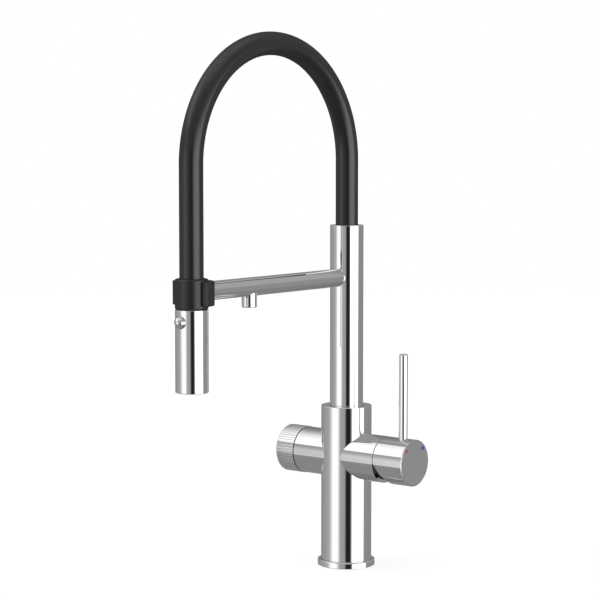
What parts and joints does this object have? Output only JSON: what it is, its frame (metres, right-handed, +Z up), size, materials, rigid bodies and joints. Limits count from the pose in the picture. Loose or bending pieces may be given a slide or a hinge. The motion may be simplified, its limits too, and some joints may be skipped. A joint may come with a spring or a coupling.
{
  "type": "three way filtered water kitchen tap",
  "caption": "Column kitchen tap with a swivelling riser, an arched hose, a spray head docked in a clip, a mixer lever and a fluted filtered water knob.",
  "frame": {"origin": "the deck, on the axis of the column, at the middle of the foot", "axes": "+Z up along the column, -Y along the arm towards the spray head, +X towards the mixer lever"},
  "size_m": [0.149, 0.2655, 0.5026],
  "materials": {
    "chrome": "polished",
    "dark_metal": "satin",
    "brass": "machined",
    "steel": "plain",
    "hose_polymer": "satin",
    "black_plastic": "satin",
    "seal_rubber": "matte",
    "spray_rubber": "matte",
    "white_plastic": "moulded",
    "water_tube": "smooth",
    "hot_mark": "gloss",
    "cold_mark": "gloss"
  },
  "bodies": {
    "column": {"base_flange": "chrome", "base_seal": "seal_rubber", "body_shell": "chrome", "inlet_manifold": "brass", "hot_inlet_tube": "water_tube", "cold_inlet_tube": "water_tube", "filtered_inlet_tube": "water_tube", "tie_screw_front": "steel", "tie_screw_rear": "steel", "valve_block": "brass", "mixer_cartridge": "white_plastic", "cartridge_nut": "brass", "cartridge_dome": "dark_metal", "filter_cartridge": "brass", "filter_nut": "brass", "lower_bush": "white_plastic", "upper_bush": "white_plastic"},
    "mixer_carrier": {"mixer_carrier": "steel", "pivot_pin": "steel"},
    "mixer_lever": {"mixer_stem": "steel", "mixer_hub": "chrome", "hub_screw": "steel", "lever_rod": "chrome", "index_disc": "chrome", "hot_dot": "hot_mark", "cold_dot": "cold_mark"},
    "filter_knob": {"filter_spindle": "brass", "filter_knob": "chrome", "knob_screw": "steel", "knob_cap": "chrome"},
    "spout": {"riser_tube": "chrome", "riser_circlip": "steel", "riser_plug": "brass", "riser_seal_lower": "seal_rubber", "riser_seal_upper": "seal_rubber", "mixed_water_pipe": "water_tube", "filtered_water_pipe": "water_tube", "arm_tube": "chrome", "outlet_elbow": "brass", "outlet_nozzle": "chrome", "outlet_insert": "white_plastic", "dock_clip": "black_plastic", "hose_sleeve": "hose_polymer", "inner_hose": "water_tube", "hose_lower_ferrule": "steel", "hose_adapter": "brass", "riser_top_ring": "chrome"},
    "hose_end": {"hose_collar": "black_plastic", "hose_upper_ferrule": "steel", "hose_end_fitting": "brass"},
    "spray_head": {"head_shell": "chrome", "spray_core": "white_plastic", "spray_face": "spray_rubber", "aerator_insert": "white_plastic", "diverter_ring": "white_plastic", "button_spring": "steel"},
    "spray_button": {"spray_button": "chrome"}
  },
  "joints": [
    {"name": "mixer_temperature", "type": "hinge", "parent": "column", "child": "mixer_carrier", "pos_m": [0.046, 0, 0.1057], "axis": [1, 0, 0], "range_deg": [-45, 45]},
    {"name": "mixer_flow", "type": "hinge", "parent": "mixer_carrier", "child": "mixer_lever", "pos_m": [0.046, 0, 0.1057], "axis": [0, 1, 0], "range_deg": [0, 18]},
    {"name": "filtered_water_turn", "type": "hinge", "parent": "column", "child": "filter_knob", "pos_m": [-0.05, 0, 0.1057], "axis": [-1, 0, 0], "range_deg": [0, 90]},
    {"name": "spout_swivel", "type": "hinge", "parent": "column", "child": "spout", "pos_m": [0, 0, 0.14], "axis": [0, 0, 1], "continuous": true},
    {"name": "head_undock", "type": "slide", "parent": "spout", "child": "hose_end", "axis": [0, -1, 0], "range_m": [0, 0.06], "deforming": ["hose_sleeve", "inner_hose"]},
    {"name": "head_swivel", "type": "hinge", "parent": "hose_end", "child": "spray_head", "pos_m": [0, -0.218, 0.25], "axis": [0, 0, 1], "continuous": true},
    {"name": "spray_button_press", "type": "slide", "parent": "spray_head", "child": "spray_button", "axis": [0, 1, 0], "range_m": [0, 0.0025], "stiffness_N_per_m": 400, "springref_m": -0.002, "deforming": ["button_spring"]}
  ]
}
